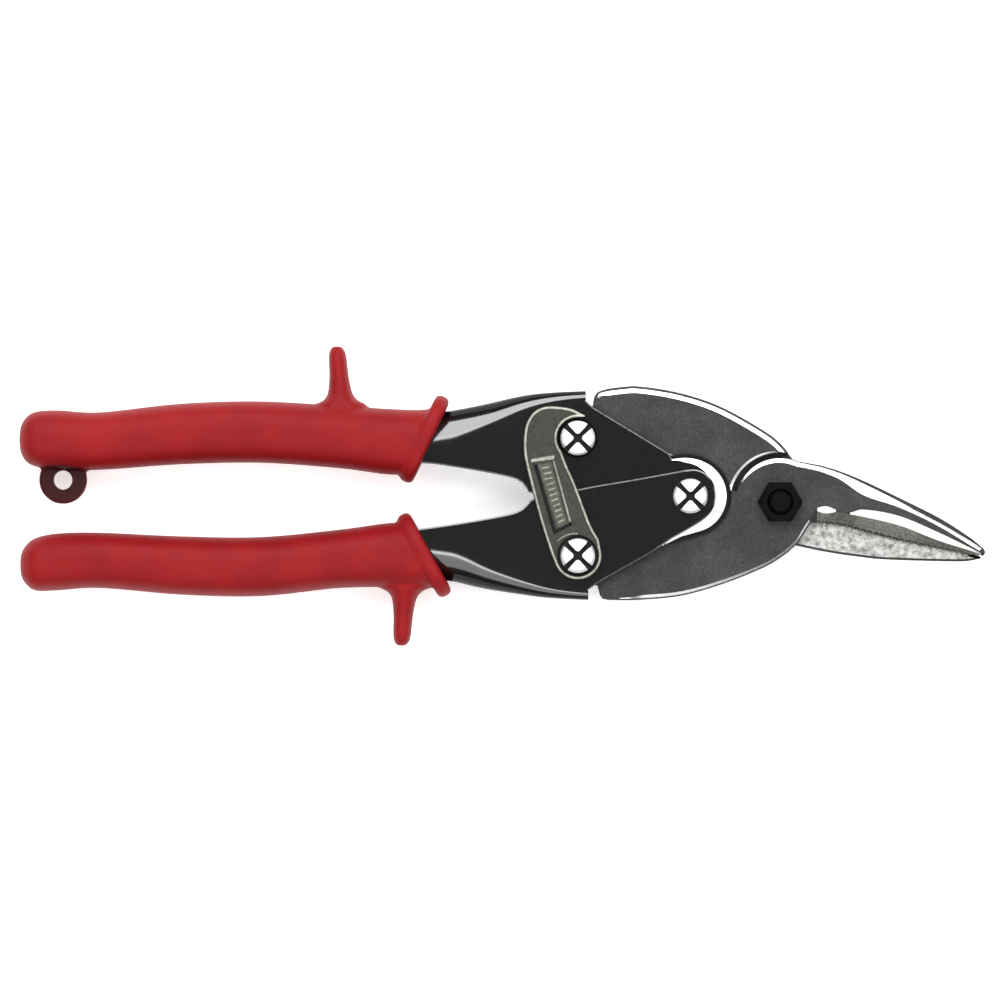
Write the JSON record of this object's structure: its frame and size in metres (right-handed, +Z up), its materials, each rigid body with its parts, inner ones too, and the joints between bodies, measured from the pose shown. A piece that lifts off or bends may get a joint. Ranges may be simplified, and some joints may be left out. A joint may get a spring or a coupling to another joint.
{
  "type": "aviation snips",
  "caption": "Compound-action aviation snips for sheet metal: two crossed jaws, pressed steel handles with red moulded grips, a return spring and a swinging latch.",
  "frame": {"origin": "bottom centre of the closed tool's bounding box, the tool lying flat", "axes": "+X along the tool towards the jaw tips, +Y towards the handle that carries the hang ring, +Z up through the latch side"},
  "size_m": [0.2476, 0.0768, 0.0225],
  "materials": {
    "handle_steel": "gloss black paint on pressed sheet",
    "grip_vinyl": "satin red vinyl",
    "blade_steel": "dark phosphate with ground edges",
    "bright_zinc": "bright zinc",
    "black_oxide": "black oxide",
    "latch_nickel": "dull nickel plate",
    "spring_steel": "drawn wire",
    "bush_bronze": "plain turned"
  },
  "bodies": {
    "lower_handle_side": {"lower_handle": "handle_steel", "lower_grip": "grip_vinyl", "lower_link_bolt": "bright_zinc", "lower_link_nut": "bright_zinc", "lower_link_bush": "bush_bronze", "lower_link_front_washer": "bright_zinc", "lower_link_back_washer": "bright_zinc", "latch_spring_washer": "spring_steel", "handle_pivot_bolt": "bright_zinc", "handle_pivot_nut": "bright_zinc", "handle_pivot_bush": "bush_bronze", "return_spring": "spring_steel"},
    "upper_handle_side": {"upper_handle": "handle_steel", "upper_grip": "grip_vinyl", "upper_link_bolt": "bright_zinc", "upper_link_nut": "bright_zinc", "upper_link_bush": "bush_bronze", "upper_link_spacer": "black_oxide", "upper_link_washer": "bright_zinc"},
    "upper_jaw": {"upper_jaw_blade": "blade_steel", "blade_pivot_bolt": "black_oxide", "blade_pivot_nut": "black_oxide", "blade_pivot_washer": "black_oxide"},
    "lower_jaw": {"lower_jaw_blade": "blade_steel"},
    "latch_arm": {"latch": "latch_nickel"}
  },
  "joints": [
    {"name": "handles_open", "type": "hinge", "parent": "lower_handle_side", "child": "upper_handle_side", "pos_m": [0.048, 0, 0.01045], "axis": [0, 0, -1], "range_deg": [0, 34], "deforming": ["return_spring"]},
    {"name": "upper_jaw_link", "type": "hinge", "parent": "lower_handle_side", "child": "upper_jaw", "pos_m": [0.0192, -0.0152, 0.01045], "axis": [0, 0, -1], "range_deg": [0, 7.5]},
    {"name": "jaws_open", "type": "hinge", "parent": "upper_jaw", "child": "lower_jaw", "pos_m": [0.071, -0.0015, 0.01045], "axis": [0, 0, -1], "range_deg": [0, 18]},
    {"name": "latch_swing", "type": "hinge", "parent": "lower_handle_side", "child": "latch_arm", "pos_m": [0.0192, -0.0152, 0.01045], "axis": [0, 0, 1], "range_deg": [0, 60]}
  ],
  "couplings": [
    {"joint": "upper_jaw_link", "follows": "handles_open", "ratio": 0.2168},
    {"joint": "jaws_open", "follows": "handles_open", "ratio": 0.5259}
  ]
}
